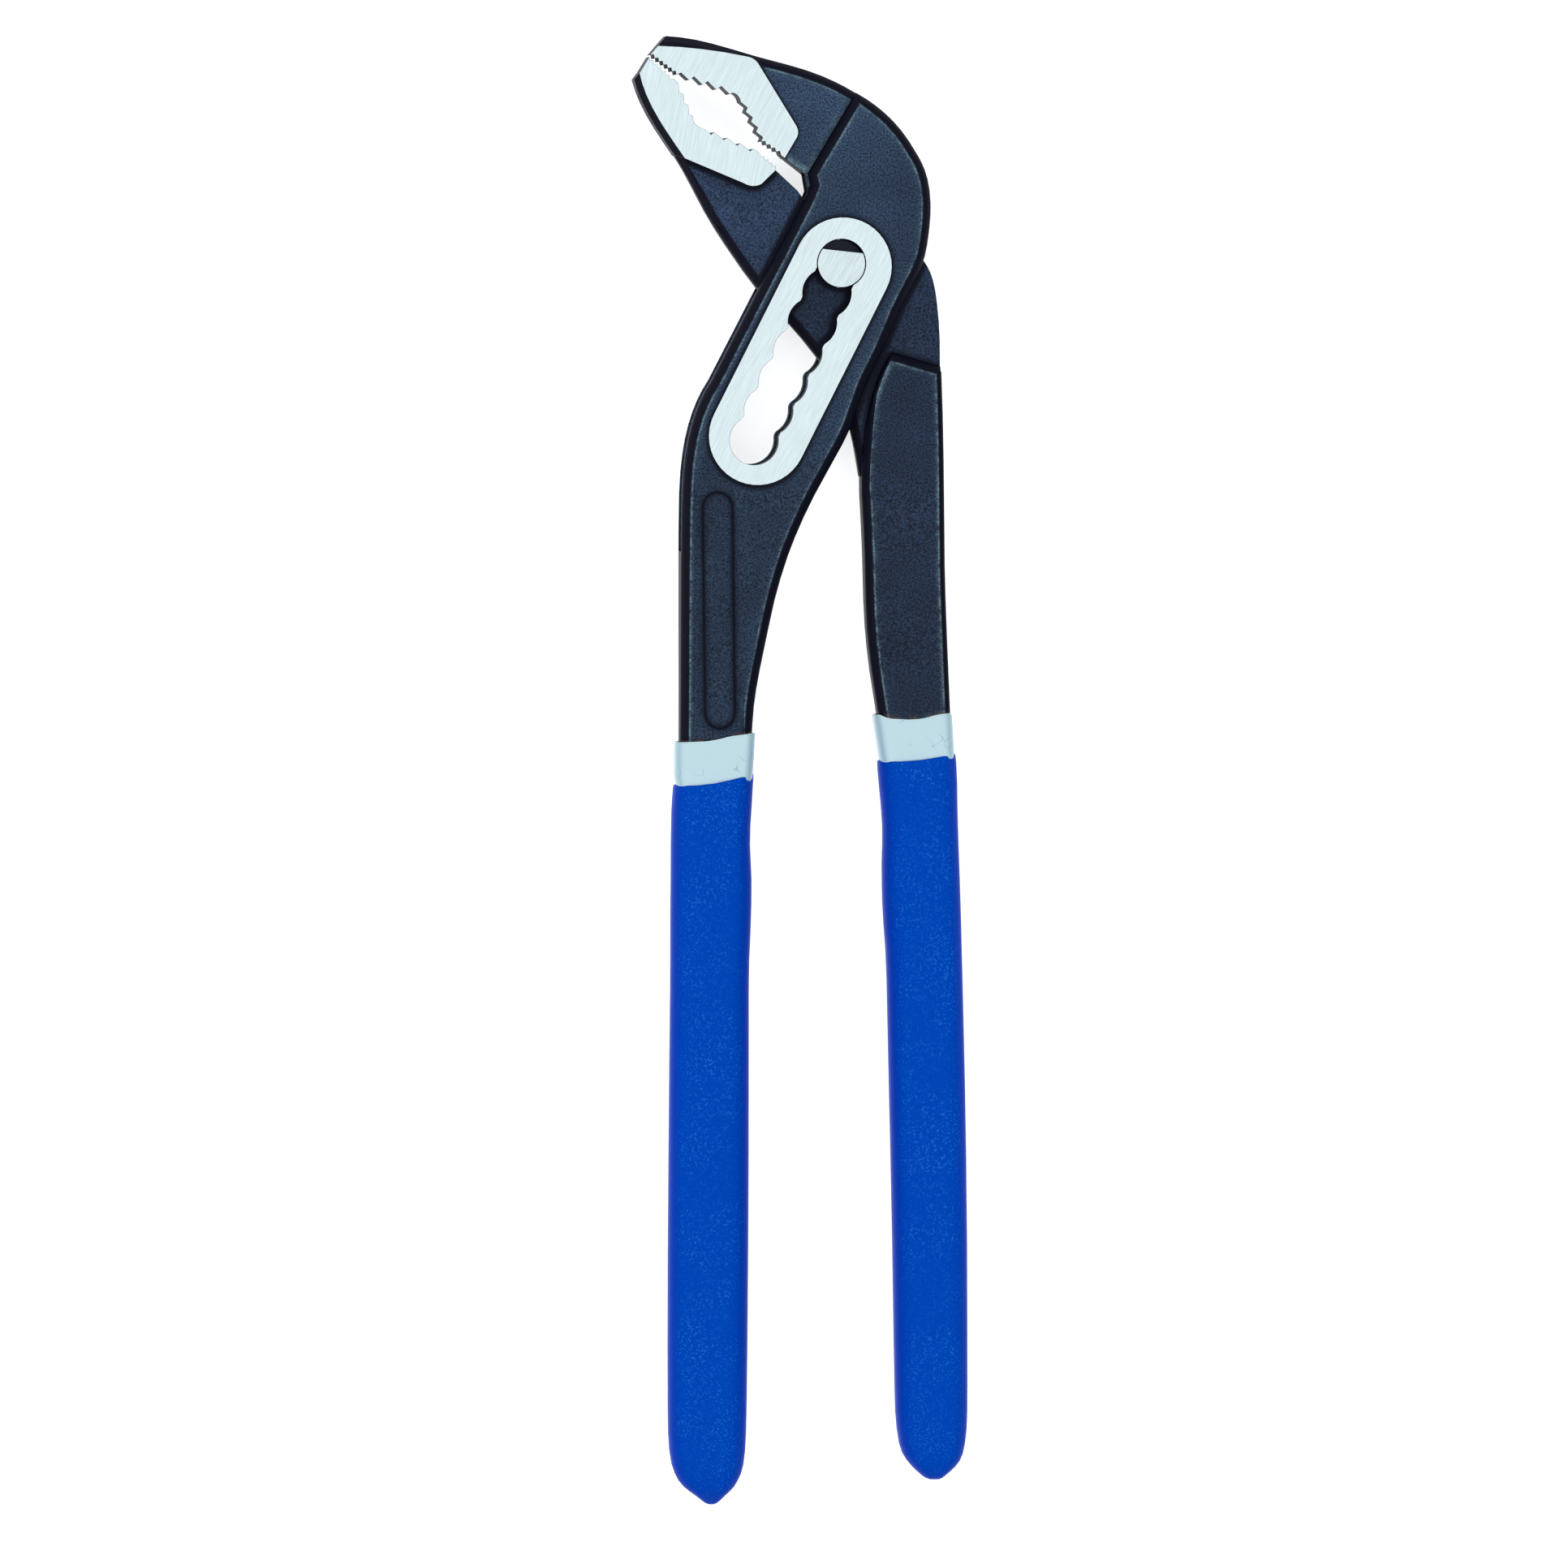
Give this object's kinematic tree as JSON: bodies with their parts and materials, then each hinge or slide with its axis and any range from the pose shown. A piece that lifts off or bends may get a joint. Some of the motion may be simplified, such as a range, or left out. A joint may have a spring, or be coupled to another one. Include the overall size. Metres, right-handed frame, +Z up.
{
  "type": "tongue and groove pliers",
  "caption": "Box-joint pliers with a slotted lever, a tongue lever on a stepped sliding pin, toothed jaws and dipped two-layer plastic grips, lying flat and closed.",
  "frame": {"origin": "on the pivot pin's axis at rest, in the plane of the pin's lower end, which is level with the lower polished boss", "axes": "+Y along the tool towards the jaws, +Z up through the thickness, +X towards the inner lever's handle"},
  "size_m": [0.0686, 0.3, 0.014],
  "materials": {
    "black_forged_steel": "blackened forging with bare ground jaw faces and bosses",
    "black_forged_steel_inner": "blackened forging with bare ground jaw faces",
    "ground_steel": "ground, fine straight lines",
    "grey_dip": "glossy dipped soft PVC, pale blue-grey",
    "blue_dip": "satin dipped soft PVC, blue"
  },
  "bodies": {
    "slotted": {"slotted_lever": "black_forged_steel", "left_grip_grey": "grey_dip", "left_grip_blue": "blue_dip"},
    "pivot": {"pivot_pin": "ground_steel"},
    "inner": {"inner_lever": "black_forged_steel_inner", "right_grip_grey": "grey_dip", "right_grip_blue": "blue_dip"}
  },
  "joints": [
    {"name": "slot_slide", "type": "slide", "parent": "slotted", "child": "pivot", "axis": [-0.4445, -0.8958, 0], "range_m": [0, 0.04016]},
    {"name": "jaw_hinge", "type": "hinge", "parent": "pivot", "child": "inner", "pos_m": [0, 0, 0.007], "axis": [0, 0, 1], "range_deg": [0, 70]}
  ]
}
